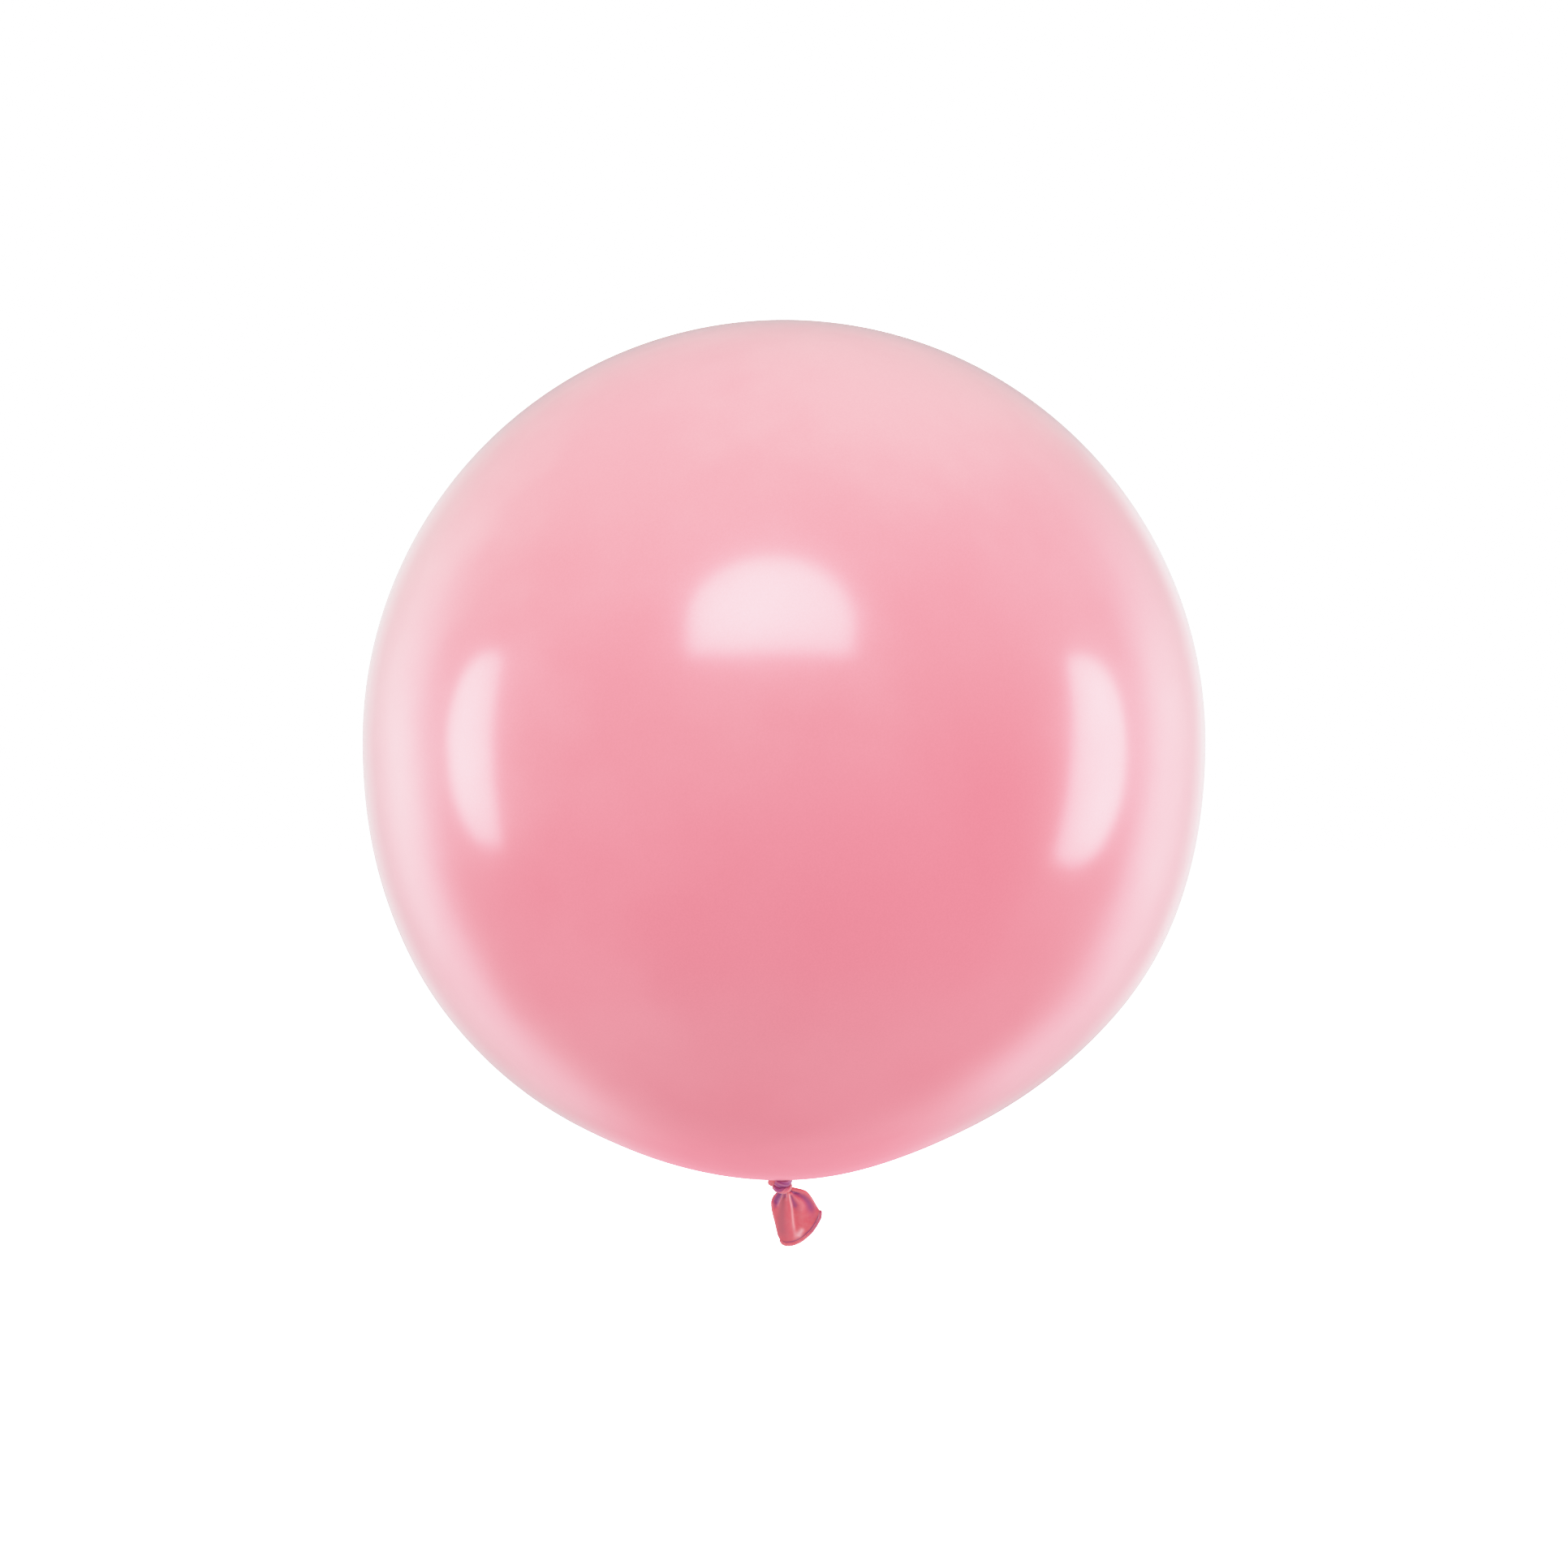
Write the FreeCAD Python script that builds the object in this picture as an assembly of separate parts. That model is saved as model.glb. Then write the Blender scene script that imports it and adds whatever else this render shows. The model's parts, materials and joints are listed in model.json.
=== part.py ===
# Knotted round latex balloon, 600 mm across, shown inflated with its neck tied off underneath.
#
# Frame: millimetres, +Z up, +X to the right, -Y to the front. The origin is the middle of the
# waist between the bulb and the knot, where a ribbon is tied. The bulb stands above it and the
# knot and the open-mouthed tail hang below.
#
# The real balloon is one dipped film. It is cut here where the film changes shape: bulb, throat,
# knot, gathered tail root, tail skirt and rolled mouth bead. The places where the neck bends are
# hinges: a rounded end of one piece turns inside the next with a small running gap.

import FreeCAD
import Part
import math
import os

Vector = FreeCAD.Vector
X_AXIS = Vector(1, 0, 0)
Y_AXIS = Vector(0, 1, 0)
Z_AXIS = Vector(0, 0, 1)
ORIGIN = Vector(0, 0, 0)

# ---- driving dimensions, mm and degrees ---------------------------------------------------
BULB_RADIUS = 300.0
BULB_CENTRE_Z = 313.0       # height of the bulb's equator above the tied waist
FILM = 0.4                  # modelled wall of the film

LOWER_FULLNESS = 0.022      # the lower half swells past a sphere by this share of the radius
LOWER_FULL_AT = 40.0        # degrees below the equator where it has swollen fully
NECK_DROP = 0.015           # and drops towards the neck by this further share
NECK_DROP_FROM = 65.0       # degrees below the equator where that drop starts
LOWER_POINTS = 16           # stations that carry the lower profile

THROAT_HOLE_RADIUS = 4.2    # hole in the bulb's film where the throat leaves
THROAT_TOP_RADIUS = 3.6
NOD_Z = 1.8                 # height of the fore-and-aft hinge, in the bulb's film
ROCK_Z = -2.0               # height of the side-to-side hinge, at the top of the knot
THROAT_END_RADIUS = 2.8     # rounded end that turns in the mouth of the knot

KNOT_HEIGHT = 9.8
KNOT_RING_RADIUS = 4.8      # from the axis to the middle of the wrapped turn
KNOT_RING_HALF_WIDTH = 2.8
KNOT_CORE_GAP = 0.4         # between the core and the rounded ends above and below it

# The loose fold of film on the knot's left, as (outwards from the axis, below the knot's top)
FOLD_TOP_ROOT = (6.5, 0.9)
FOLD_TIP = (11.2, 1.6)
FOLD_TIP_LOW = (10.2, 4.9)
FOLD_LOW_ROOT = (6.5, 6.3)
FOLD_HALF_DEPTH = 2.2

MOUTH_TILT = 35.5           # the mouth's long way rises to the right by this angle
FLAP_TILT = 27.0            # and so does the line that the tail flaps about
ROOT_LENGTH = 7.2           # from the sway hinge to the flap hinge
ROOT_STALK_RADIUS = 2.0
ROOT_BARREL_RADIUS = 2.4
ROOT_BARREL_LENGTH = 8.0
RUNNING_GAP = 0.5
SKIRT_TOP = 1.2             # how far the skirt reaches past the flap hinge, towards the knot

# The tail's outline, as (across, along) from the sway hinge
TAIL_SHOULDER_LEFT = (-13.2, 3.6)
TAIL_CORNER_LEFT = (-23.6, 27.6)
TAIL_MOUTH = (-5.3, 35.2)           # middle of the mouth's arc
TAIL_CORNER_RIGHT = (13.4, 27.6)
TAIL_SHOULDER_RIGHT = (13.2, 10.4)
TAIL_RISE_RIGHT = (9.0, 6.8)        # the outline rises from here towards the right shoulder

LENS_CENTRE = (-5.3, 29.5)          # the flattened tube's fullest place, across and along
LENS_HALF_SIZE = (21.0, 31.5, 6.0)  # across, along and fore-and-aft
BEAD_WIDTH = 2.6
BEAD_PROUD = 0.9
CUT_MARGIN = 5.0                    # how far cutting shapes reach past what they cut


# ---- helpers -----------------------------------------------------------------------------
def smooth(t):
    """0 below 0, 1 above 1, and a smooth step between."""
    t = min(max(t, 0.0), 1.0)
    return t * t * (3 - 2 * t)


def bulb_radius(below):
    """Distance from the bulb's centre to its surface, at an angle in degrees below the equator."""
    swell = LOWER_FULLNESS * smooth(below / LOWER_FULL_AT)
    drop = NECK_DROP * smooth((below - NECK_DROP_FROM) / (90.0 - NECK_DROP_FROM))
    return BULB_RADIUS * (1 + swell + drop)


def revolved(edges):
    return Part.Face(Part.Wire(edges)).revolve(ORIGIN, Z_AXIS, 360)


def ellipsoid(centre, half_size, across):
    """Ellipsoid with half sizes (across, along, fore-and-aft); across is a unit vector in the XZ plane."""
    scale = FreeCAD.Matrix()
    scale.scale(half_size[0], half_size[2], half_size[1])
    shape = Part.makeSphere(1.0).transformGeometry(scale)
    tilt = -math.degrees(math.atan2(across.z, across.x))
    shape.rotate(ORIGIN, Y_AXIS, tilt)
    shape.translate(centre)
    return shape


def prism(edges, half_depth):
    """Closed outline in the XZ plane, extruded equally to the front and the back."""
    face = Part.Face(Part.Wire(Part.sortEdges(edges)[0]))
    face.translate(Vector(0, -half_depth, 0))
    return face.extrude(Vector(0, 2 * half_depth, 0))


def save(name, shape):
    solids = shape.Solids
    assert shape.isValid() and solids, name
    solid = solids[0] if len(solids) == 1 else Part.makeCompound(solids)
    solid.exportStep(os.path.join("parts", name + ".step"))
    box = solid.optimalBoundingBox(False)
    print(
        f"{name}: {len(solids)} solid, {solid.Volume:.1f} mm3, "
        f"X {box.XMin:.1f}..{box.XMax:.1f} Y {box.YMin:.1f}..{box.YMax:.1f} "
        f"Z {box.ZMin:.1f}..{box.ZMax:.1f}"
    )


# ---- the tail's own directions -----------------------------------------------------------
def directions(tilt):
    """Unit vectors along a line that rises to the right by tilt, and square to it, downwards."""
    a = math.radians(tilt)
    return Vector(math.cos(a), 0, math.sin(a)), Vector(math.sin(a), 0, -math.cos(a))


ACROSS, ALONG = directions(MOUTH_TILT)      # along the mouth, and from the knot towards it
FLAP_AXIS, ROOT_WAY = directions(FLAP_TILT)
SWAY_HINGE = Vector(0, 0, ROCK_Z - KNOT_HEIGHT)
FLAP_HINGE = SWAY_HINGE + ROOT_WAY * ROOT_LENGTH


def on_tail(across, along):
    """Point of the tail's middle plane, measured from the sway hinge."""
    return SWAY_HINGE + ACROSS * across + ALONG * along


# ---- the pieces --------------------------------------------------------------------------
def bulb_profile(inset):
    """Half of the bulb's outline, moved in by inset: edges from crown to throat, and their two ends."""
    side = BULB_RADIUS - inset
    crown = Vector(0, 0, BULB_CENTRE_Z + side)
    diagonal = side * math.sqrt(0.5)
    equator = Vector(side, 0, BULB_CENTRE_Z)
    upper = Part.Arc(crown, Vector(diagonal, 0, BULB_CENTRE_Z + diagonal), equator).toShape()
    last = 90.0 - math.degrees(math.asin(THROAT_HOLE_RADIUS / bulb_radius(90.0)))
    points = []
    for i in range(LOWER_POINTS + 1):
        below = last * i / LOWER_POINTS
        radius = bulb_radius(below) - inset
        angle = math.radians(below)
        points.append(Vector(radius * math.cos(angle), 0, BULB_CENTRE_Z - radius * math.sin(angle)))
    lower = Part.BSplineCurve()
    lower.interpolate(Points=points, InitialTangent=-Z_AXIS, FinalTangent=-X_AXIS)
    return [upper, lower.toShape()], crown, points[-1]


def bulb_film():
    """Inflated envelope: a spherical crown half and a fuller lower half, open at the throat."""
    outer, crown_out, rim_out = bulb_profile(0.0)
    inner, crown_in, rim_in = bulb_profile(FILM)
    rim = Part.LineSegment(rim_out, rim_in).toShape()
    axis = Part.LineSegment(crown_in, crown_out).toShape()
    return revolved(Part.sortEdges([*outer, rim, *inner, axis])[0])


def throat_gather():
    """Bundled film between bulb and knot: a tapered rod with a rounded end on each hinge."""
    top = Part.makeSphere(THROAT_TOP_RADIUS, Vector(0, 0, NOD_Z))
    rod = Part.makeCone(THROAT_END_RADIUS, THROAT_TOP_RADIUS, NOD_Z - ROCK_Z, Vector(0, 0, ROCK_Z))
    end = Part.makeSphere(THROAT_END_RADIUS, Vector(0, 0, ROCK_Z))
    return top.fuse([rod, end]).removeSplitter()


def knot_wrap():
    """The turn of neck wrapped round itself: a ring with an upright oval section."""
    middle = Vector(KNOT_RING_RADIUS, 0, ROCK_Z - KNOT_HEIGHT / 2)
    tall = middle + Vector(0, 0, KNOT_HEIGHT / 2)
    wide = middle + Vector(KNOT_RING_HALF_WIDTH, 0, 0)
    oval = Part.Ellipse(tall, wide, middle).toShape()
    return revolved([oval])


def knot_core():
    """The strand that runs through the wrapped turn, between the two rounded ends."""
    radius = KNOT_RING_RADIUS - KNOT_RING_HALF_WIDTH
    reach = THROAT_END_RADIUS + KNOT_CORE_GAP
    return Part.makeCylinder(
        radius, KNOT_HEIGHT - 2 * reach, Vector(0, 0, SWAY_HINGE.z + reach)
    )


def knot_fold():
    """A loose fold of film that stands out of the wrapped turn on the left."""

    def at(point):
        return Vector(-point[0], 0, ROCK_Z - point[1])

    top, tip, tip_low, low = (at(p) for p in (FOLD_TOP_ROOT, FOLD_TIP, FOLD_TIP_LOW, FOLD_LOW_ROOT))
    edges = [Part.LineSegment(a, b).toShape() for a, b in ((top, tip), (tip, tip_low), (tip_low, low), (low, top))]
    reach = KNOT_RING_RADIUS + KNOT_RING_HALF_WIDTH
    wrap = Part.makeCylinder(reach, 2 * KNOT_HEIGHT, Vector(0, 0, ROCK_Z - 1.5 * KNOT_HEIGHT))
    return prism(edges, FOLD_HALF_DEPTH).cut(wrap)


def tail_gather():
    """Pleated root of the tail: a rounded end in the knot and a barrel along the flap hinge."""
    ball = Part.makeSphere(THROAT_END_RADIUS, SWAY_HINGE)
    stalk = Part.makeCylinder(ROOT_STALK_RADIUS, ROOT_LENGTH, SWAY_HINGE, ROOT_WAY)
    start = FLAP_HINGE - FLAP_AXIS * (ROOT_BARREL_LENGTH / 2)
    barrel = Part.makeCylinder(ROOT_BARREL_RADIUS, ROOT_BARREL_LENGTH, start, FLAP_AXIS)
    return ball.fuse([stalk, barrel]).removeSplitter()


def tail_outline(inset, end):
    """Front outline of the tail from the shoulders to an arc at the mouth, moved in by inset.

    end moves the mouth's arc towards (-) or away from (+) the knot."""

    def at(point, side, forward):
        return on_tail(point[0] + side * inset, point[1] + forward)

    shoulder_left = at(TAIL_SHOULDER_LEFT, 1, inset)
    corner_left = at(TAIL_CORNER_LEFT, 1, end)
    mouth = at(TAIL_MOUTH, 0, end)
    corner_right = at(TAIL_CORNER_RIGHT, -1, end)
    shoulder_right = at(TAIL_SHOULDER_RIGHT, -1, inset)
    rise_right = at(TAIL_RISE_RIGHT, -1, inset)
    return [
        Part.LineSegment(shoulder_left, corner_left).toShape(),
        Part.Arc(corner_left, mouth, corner_right).toShape(),
        Part.LineSegment(corner_right, shoulder_right).toShape(),
        Part.LineSegment(shoulder_right, rise_right).toShape(),
        Part.LineSegment(rise_right, shoulder_left).toShape(),
    ]


def lens(inset, end):
    """The tail's body as a closed lens, moved in by inset on every side but the mouth."""
    half_size = [h - inset for h in LENS_HALF_SIZE]
    body = ellipsoid(on_tail(*LENS_CENTRE), half_size, ACROSS)
    return body.common(prism(tail_outline(inset, end), LENS_HALF_SIZE[2] + CUT_MARGIN))


def on_root(across, along):
    """Point of the tail's middle plane, measured from the flap hinge and square to its axis."""
    return FLAP_HINGE + FLAP_AXIS * across + ROOT_WAY * along


def block(across, low, high):
    """Box square to the flap axis: half its width across, and its two ends along."""
    corners = [on_root(-across, low), on_root(across, low), on_root(across, high), on_root(-across, high)]
    edges = [Part.LineSegment(corners[i - 1], corners[i]).toShape() for i in range(4)]
    return prism(edges, LENS_HALF_SIZE[2] + CUT_MARGIN)


def root_clearance():
    """The room that the gathered root turns in, and the skirt's end on the knot's side."""
    half = ROOT_BARREL_LENGTH / 2 + RUNNING_GAP
    start = FLAP_HINGE - FLAP_AXIS * half
    barrel = Part.makeCylinder(ROOT_BARREL_RADIUS + RUNNING_GAP, 2 * half, start, FLAP_AXIS)
    slot = block(ROOT_STALK_RADIUS + RUNNING_GAP, -KNOT_HEIGHT, RUNNING_GAP)
    beyond = block(LENS_HALF_SIZE[0], -2 * KNOT_HEIGHT, -SKIRT_TOP)
    return barrel.fuse([slot, beyond])


def tail_skirt():
    """Flattened tube of neck film that flares from the root to the open mouth."""
    outer = lens(0.0, -BEAD_WIDTH / 2)
    hollow = lens(FILM, 2 * BEAD_WIDTH)
    return outer.cut(hollow).cut(root_clearance())


def mouth_bead():
    """Rolled rim round the mouth, thicker than the film on both sides."""
    proud = lens(-BEAD_PROUD, BEAD_WIDTH / 2)
    behind = prism(tail_outline(-2 * BEAD_PROUD, -BEAD_WIDTH / 2), LENS_HALF_SIZE[2] + CUT_MARGIN)
    return proud.cut(behind).cut(lens(FILM, 2 * BEAD_WIDTH))


def main():
    os.makedirs("parts", exist_ok=True)
    save("bulb_film", bulb_film())
    save("throat_gather", throat_gather())
    save("knot_wrap", knot_wrap())
    save("knot_core", knot_core())
    save("knot_fold", knot_fold())
    save("tail_gather", tail_gather())
    save("tail_skirt", tail_skirt())
    save("mouth_bead", mouth_bead())


main()
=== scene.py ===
import json
import math

import bpy
import bmesh
import numpy as np
from mathutils import Matrix, Vector


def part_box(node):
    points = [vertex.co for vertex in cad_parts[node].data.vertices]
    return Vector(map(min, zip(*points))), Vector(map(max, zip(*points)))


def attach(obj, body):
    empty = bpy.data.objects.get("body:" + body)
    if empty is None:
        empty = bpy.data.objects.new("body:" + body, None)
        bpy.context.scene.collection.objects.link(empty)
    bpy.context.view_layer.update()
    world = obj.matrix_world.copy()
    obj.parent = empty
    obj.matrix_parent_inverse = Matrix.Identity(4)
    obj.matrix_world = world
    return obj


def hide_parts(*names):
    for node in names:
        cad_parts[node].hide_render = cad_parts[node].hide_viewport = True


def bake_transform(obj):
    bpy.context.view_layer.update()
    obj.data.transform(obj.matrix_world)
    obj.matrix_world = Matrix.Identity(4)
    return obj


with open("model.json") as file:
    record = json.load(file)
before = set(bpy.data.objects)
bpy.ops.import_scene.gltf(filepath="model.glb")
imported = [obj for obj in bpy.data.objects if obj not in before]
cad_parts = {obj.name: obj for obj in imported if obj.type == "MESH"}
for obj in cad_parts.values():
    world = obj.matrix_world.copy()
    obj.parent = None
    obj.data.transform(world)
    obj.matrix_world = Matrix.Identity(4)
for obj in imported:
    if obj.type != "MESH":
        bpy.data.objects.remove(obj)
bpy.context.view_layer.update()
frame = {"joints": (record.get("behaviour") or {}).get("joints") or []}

# Round latex balloon, 600 mm across, tied in its own neck. Metres; +Z up, -Y to the front.
# Millimetres are used for the small neck parts and turned to metres by MM.
MM = 0.001
JOINTS = {j["name"]: j for j in frame["joints"]}

BULB_LOW, BULB_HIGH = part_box("bulb_film")
BULB_RADIUS = (BULB_HIGH.x - BULB_LOW.x) / 2
BULB_CENTRE_Z = BULB_HIGH.z - BULB_RADIUS
SWAY = Vector(JOINTS["tail_sway"]["pos_m"])


# ---- shared helpers ------------------------------------------------------------------------
def smooth(t):
    """0 below 0, 1 above 1, and a smooth step between; works on numbers and arrays."""
    t = np.clip(t, 0.0, 1.0)
    return t * t * (3 - 2 * t)


def between(x, span):
    """0 before the span's start and 1 after its end, with a smooth step between."""
    return smooth((x - span[0]) / (span[1] - span[0]))


def bell(x, width):
    """1 at 0, falling away smoothly on both sides."""
    return np.exp(-((x / width) ** 2))


def through(points, count):
    """count points, evenly spaced in length, along a smooth curve through a few points."""
    steps = 40              # between two of the given points
    p = np.array(points, float)
    ends = np.vstack([2 * p[0] - p[1], p, 2 * p[-1] - p[-2]])
    fine = []
    for i in range(1, len(ends) - 2):
        a, b, c, d = ends[i - 1 : i + 3]
        for t in np.linspace(0, 1, steps, endpoint=False):
            square = 2 * a - 5 * b + 4 * c - d
            cube = 3 * b - 3 * c + d - a
            fine.append(0.5 * (2 * b + (c - a) * t + square * t**2 + cube * t**3))
    fine = np.array(fine + [p[-1]])
    length = np.concatenate([[0], np.cumsum(np.linalg.norm(np.diff(fine, axis=0), axis=1))])
    wanted = np.linspace(0, length[-1], count)
    return np.stack([np.interp(wanted, length, fine[:, k]) for k in range(p.shape[1])], axis=1)


def surface(name, rows, closed_rows=False, masks=None, smooth_start=False):
    """A tube, or a ring where closed_rows is set, through rows of points; each row is a loop.
    masks are values per point. A tube is capped at both ends by strips that join its two
    halves, edge to edge; smooth_start closes the first end round a middle point instead, as
    part of the smooth surface."""
    rows = np.asarray(rows, float)
    n_rows, n_cols = rows.shape[:2]
    points = [Vector(p) for p in rows.reshape(-1, 3)]
    faces = []
    last = n_rows if closed_rows else n_rows - 1
    for i in range(last):
        j = (i + 1) % n_rows
        for k in range(n_cols):
            m = (k + 1) % n_cols
            faces.append((i * n_cols + k, i * n_cols + m, j * n_cols + m, j * n_cols + k))
    if not closed_rows:
        if smooth_start:
            points.append(Vector(rows[0].mean(axis=0)))
            faces += [(len(points) - 1, k, (k + 1) % n_cols) for k in range(n_cols)]
        for i in (n_rows - 1,) if smooth_start else (0, n_rows - 1):
            for k in range(n_cols // 2 - 1):
                faces.append([i * n_cols + m for m in (k, k + 1, n_cols - 2 - k, n_cols - 1 - k)])
    mesh = bpy.data.meshes.new(name)
    mesh.from_pydata(points, [], faces)
    bm = bmesh.new()
    bm.from_mesh(mesh)
    bmesh.ops.recalc_face_normals(bm, faces=bm.faces)
    bm.faces.ensure_lookup_table()
    flat_from = (last + (1 if smooth_start else 0)) * n_cols
    for i, face in enumerate(bm.faces):
        face.smooth = i < flat_from
        if i >= flat_from:
            for edge in face.edges:
                edge.smooth = False
    bm.to_mesh(mesh)
    bm.free()
    for key, values in (masks or {}).items():
        layer = mesh.attributes.new(key, "FLOAT", "POINT")
        flat = np.asarray(values, float).reshape(-1)
        extra = len(points) - len(flat)
        layer.data.foreach_set("value", np.concatenate([flat, np.zeros(extra)]).astype(np.float32))
    piece = bpy.data.objects.new(name, mesh)
    bpy.context.scene.collection.objects.link(piece)
    return piece


def tube(centres, sides, ups, half_sizes, columns, ripple):
    """Rows of an oval tube: at each centre, half_sizes[0] along side and half_sizes[1] along up.
    ripple(share of the way along, angles) gives a factor on the size."""
    turn = np.linspace(0, 2 * math.pi, columns, endpoint=False)
    rows = []
    for i, centre in enumerate(centres):
        scale = ripple(i / (len(centres) - 1), turn)
        a = half_sizes[i][0] * np.cos(turn) * scale
        b = half_sizes[i][1] * np.sin(turn) * scale
        rows.append(centre + a[:, None] * sides[i] + b[:, None] * ups[i])
    return np.array(rows)


# ---- material building blocks --------------------------------------------------------------
def new_material(name, **sockets):
    """Material, node tree and shader; each socket's name is given with _ for a space."""
    material = bpy.data.materials.new(name)
    material.use_nodes = True
    shader = material.node_tree.nodes["Principled BSDF"]
    for key, value in sockets.items():
        shader.inputs[key.replace("_", " ")].default_value = value
    return material, material.node_tree, shader


def add(tree, kind, **settings):
    """A new node with those properties set."""
    node = tree.nodes.new(kind)
    for key, value in settings.items():
        setattr(node, key, value)
    return node


def noise(tree, scale, detail=3.0, roughness=0.5):
    """Fac output of a noise texture in the object's own metres."""
    place = add(tree, "ShaderNodeTexCoord")
    texture = add(tree, "ShaderNodeTexNoise")
    texture.inputs["Scale"].default_value = scale
    texture.inputs["Detail"].default_value = detail
    texture.inputs["Roughness"].default_value = roughness
    tree.links.new(place.outputs["Object"], texture.inputs["Vector"])
    return texture.outputs["Fac"]


def ramp(tree, value, stops):
    """Colour at value, eased between stops of (position, colour)."""
    node = add(tree, "ShaderNodeValToRGB")
    node.color_ramp.interpolation = "EASE"
    elements = node.color_ramp.elements
    while len(elements) < len(stops):
        elements.new(0.5)
    for element, (position, colour) in zip(elements, stops):
        element.position = position
        element.color = (*colour, 1)
    tree.links.new(value, node.inputs["Fac"])
    return node.outputs["Color"]


def mix(tree, factor, a, b, blend_type="MIX"):
    """Colour between a and b; each of the three may be a number, a colour or a socket."""
    node = add(tree, "ShaderNodeMix", data_type="RGBA", blend_type=blend_type)
    for key, value in (("Factor", factor), ("A", a), ("B", b)):
        socket = node.inputs[key]
        if isinstance(value, bpy.types.NodeSocket):
            tree.links.new(value, socket)
        elif isinstance(value, (int, float)):
            socket.default_value = value
        else:
            socket.default_value = (*value, 1)
    return [o for o in node.outputs if o.type == "RGBA"][0]


def scaled(tree, value, low, high, to_low=0.0, to_high=1.0):
    """A smooth step from to_low, where value is low, to to_high, where it is high."""
    node = add(tree, "ShaderNodeMapRange", interpolation_type="SMOOTHSTEP")
    node.inputs["From Min"].default_value = low
    node.inputs["From Max"].default_value = high
    node.inputs["To Min"].default_value = to_low
    node.inputs["To Max"].default_value = to_high
    tree.links.new(value, node.inputs["Value"])
    return node.outputs["Result"]


def bump(tree, shader, height, strength, distance):
    """Fine relief under the gloss; distance is in metres."""
    node = add(tree, "ShaderNodeBump")
    node.inputs["Strength"].default_value = strength
    node.inputs["Distance"].default_value = distance
    tree.links.new(height, node.inputs["Height"])
    tree.links.new(node.outputs["Normal"], shader.inputs["Normal"])


def attribute(tree, name):
    return add(tree, "ShaderNodeAttribute", attribute_name=name).outputs["Fac"]


# ---- materials -----------------------------------------------------------------------------
# Linear colours of the film, from the crown down to the neck. The bulb's paler crown is painted
# light from above; its deeper colour near the neck is the thicker film's own
CROWN_PAINTED_LIGHT_PINK = (0.80, 0.312, 0.348)
MIDDLE_PINK = (0.80, 0.265, 0.32)
LOW_PINK = (0.80, 0.222, 0.285)
DEEP_PINK = (0.80, 0.18, 0.25)
NECK_CORAL = (0.80, 0.115, 0.155)
# a duller coral: an even dull tone of the neck's film, and painted shade where the film lies away
# from the light
DULL_SHADE_CORAL = (0.57, 0.12, 0.17)
# purple painted into the neck's folds, hollows and creases as their shade
SHADE_PURPLE = (0.385, 0.064, 0.27)
# a pale pink painted as highlights on the neck's crests, wrinkles and lips
HIGHLIGHT_PINK = (0.97, 0.48, 0.52)
# Where each colour of the bulb stands, as a share of its height
BULB_COLOURS = [
    (0.04, DEEP_PINK),
    (0.24, LOW_PINK),
    (0.40, LOW_PINK),
    (0.58, MIDDLE_PINK),
    (0.84, CROWN_PAINTED_LIGHT_PINK),
]
BULB_COLOUR_TILT = -0.18    # metres added to that height for each metre to the right
DEEP_PATCH = (0.048, -0.262, 0.184)   # middle of a deeper pink patch on the bulb's front
DEEP_PATCH_REACH = (0.17, 0.02)       # metres from there where it starts and where it is full
DEEP_PATCH_SHARE = 0.6
CLOUD_TINTS = (0.98, 0.91, 0.93), (1.02, 1.06, 1.05)            # factors on the bulb's colour
SPECKLE_TINTS = (0.985, 0.98, 0.98), (1.015, 1.02, 1.02)
GATHERED_SHARE = 0.6        # how far the bulb turns coral where its film is bunched
GRAIN_CORAL = (0.80, 0.15, 0.19)      # the lighter grains in the neck's coral


def bulb_latex():
    """Thin glossy film: paler towards the crown as painted light from above, cloudy with pigment,
    deeper where it gathers.
    """
    material, tree, shader = new_material(
        "bulb_latex",
        Roughness=0.34,
        Coat_Weight=1.0,
        Coat_Roughness=0.17,
        Sheen_Weight=0.1,
        Sheen_Roughness=0.45,
    )
    place = add(tree, "ShaderNodeTexCoord")
    split = add(tree, "ShaderNodeSeparateXYZ")
    tree.links.new(place.outputs["Object"], split.inputs["Vector"])
    tilt = add(tree, "ShaderNodeMath", operation="MULTIPLY_ADD")
    tree.links.new(split.outputs["X"], tilt.inputs[0])
    tilt.inputs[1].default_value = BULB_COLOUR_TILT
    tree.links.new(split.outputs["Z"], tilt.inputs[2])
    height = scaled(tree, tilt.outputs["Value"], BULB_LOW.z, BULB_HIGH.z)
    height.node.interpolation_type = "LINEAR"
    # colour by height; its paler top is painted light from above
    base = ramp(tree, height, BULB_COLOURS)
    cloud = scaled(tree, noise(tree, 6.0, 3.0, 0.55), 0.35, 0.68)
    base = mix(tree, 1.0, base, mix(tree, cloud, *CLOUD_TINTS), "MULTIPLY")
    patch = add(tree, "ShaderNodeVectorMath", operation="DISTANCE")
    tree.links.new(place.outputs["Object"], patch.inputs[0])
    patch.inputs[1].default_value = DEEP_PATCH
    deeper = scaled(tree, patch.outputs["Value"], *DEEP_PATCH_REACH, 0.0, DEEP_PATCH_SHARE)
    base = mix(tree, deeper, base, DEEP_PINK)
    speckle = scaled(tree, noise(tree, 900.0, 2.0), 0.3, 0.7)
    base = mix(tree, 1.0, base, mix(tree, speckle, *SPECKLE_TINTS), "MULTIPLY")
    bunched = scaled(tree, attribute(tree, "gathered"), 0.0, 1.0, 0.0, GATHERED_SHARE)
    base = mix(tree, bunched, base, NECK_CORAL)
    tree.links.new(base, shader.inputs["Base Color"])
    rough = scaled(tree, noise(tree, 14.0, 3.0), 0.3, 0.7, 0.30, 0.38)
    tree.links.new(rough, shader.inputs["Roughness"])
    bump(tree, shader, noise(tree, 60.0, 2.0), 0.06, 0.002)
    return material


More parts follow.
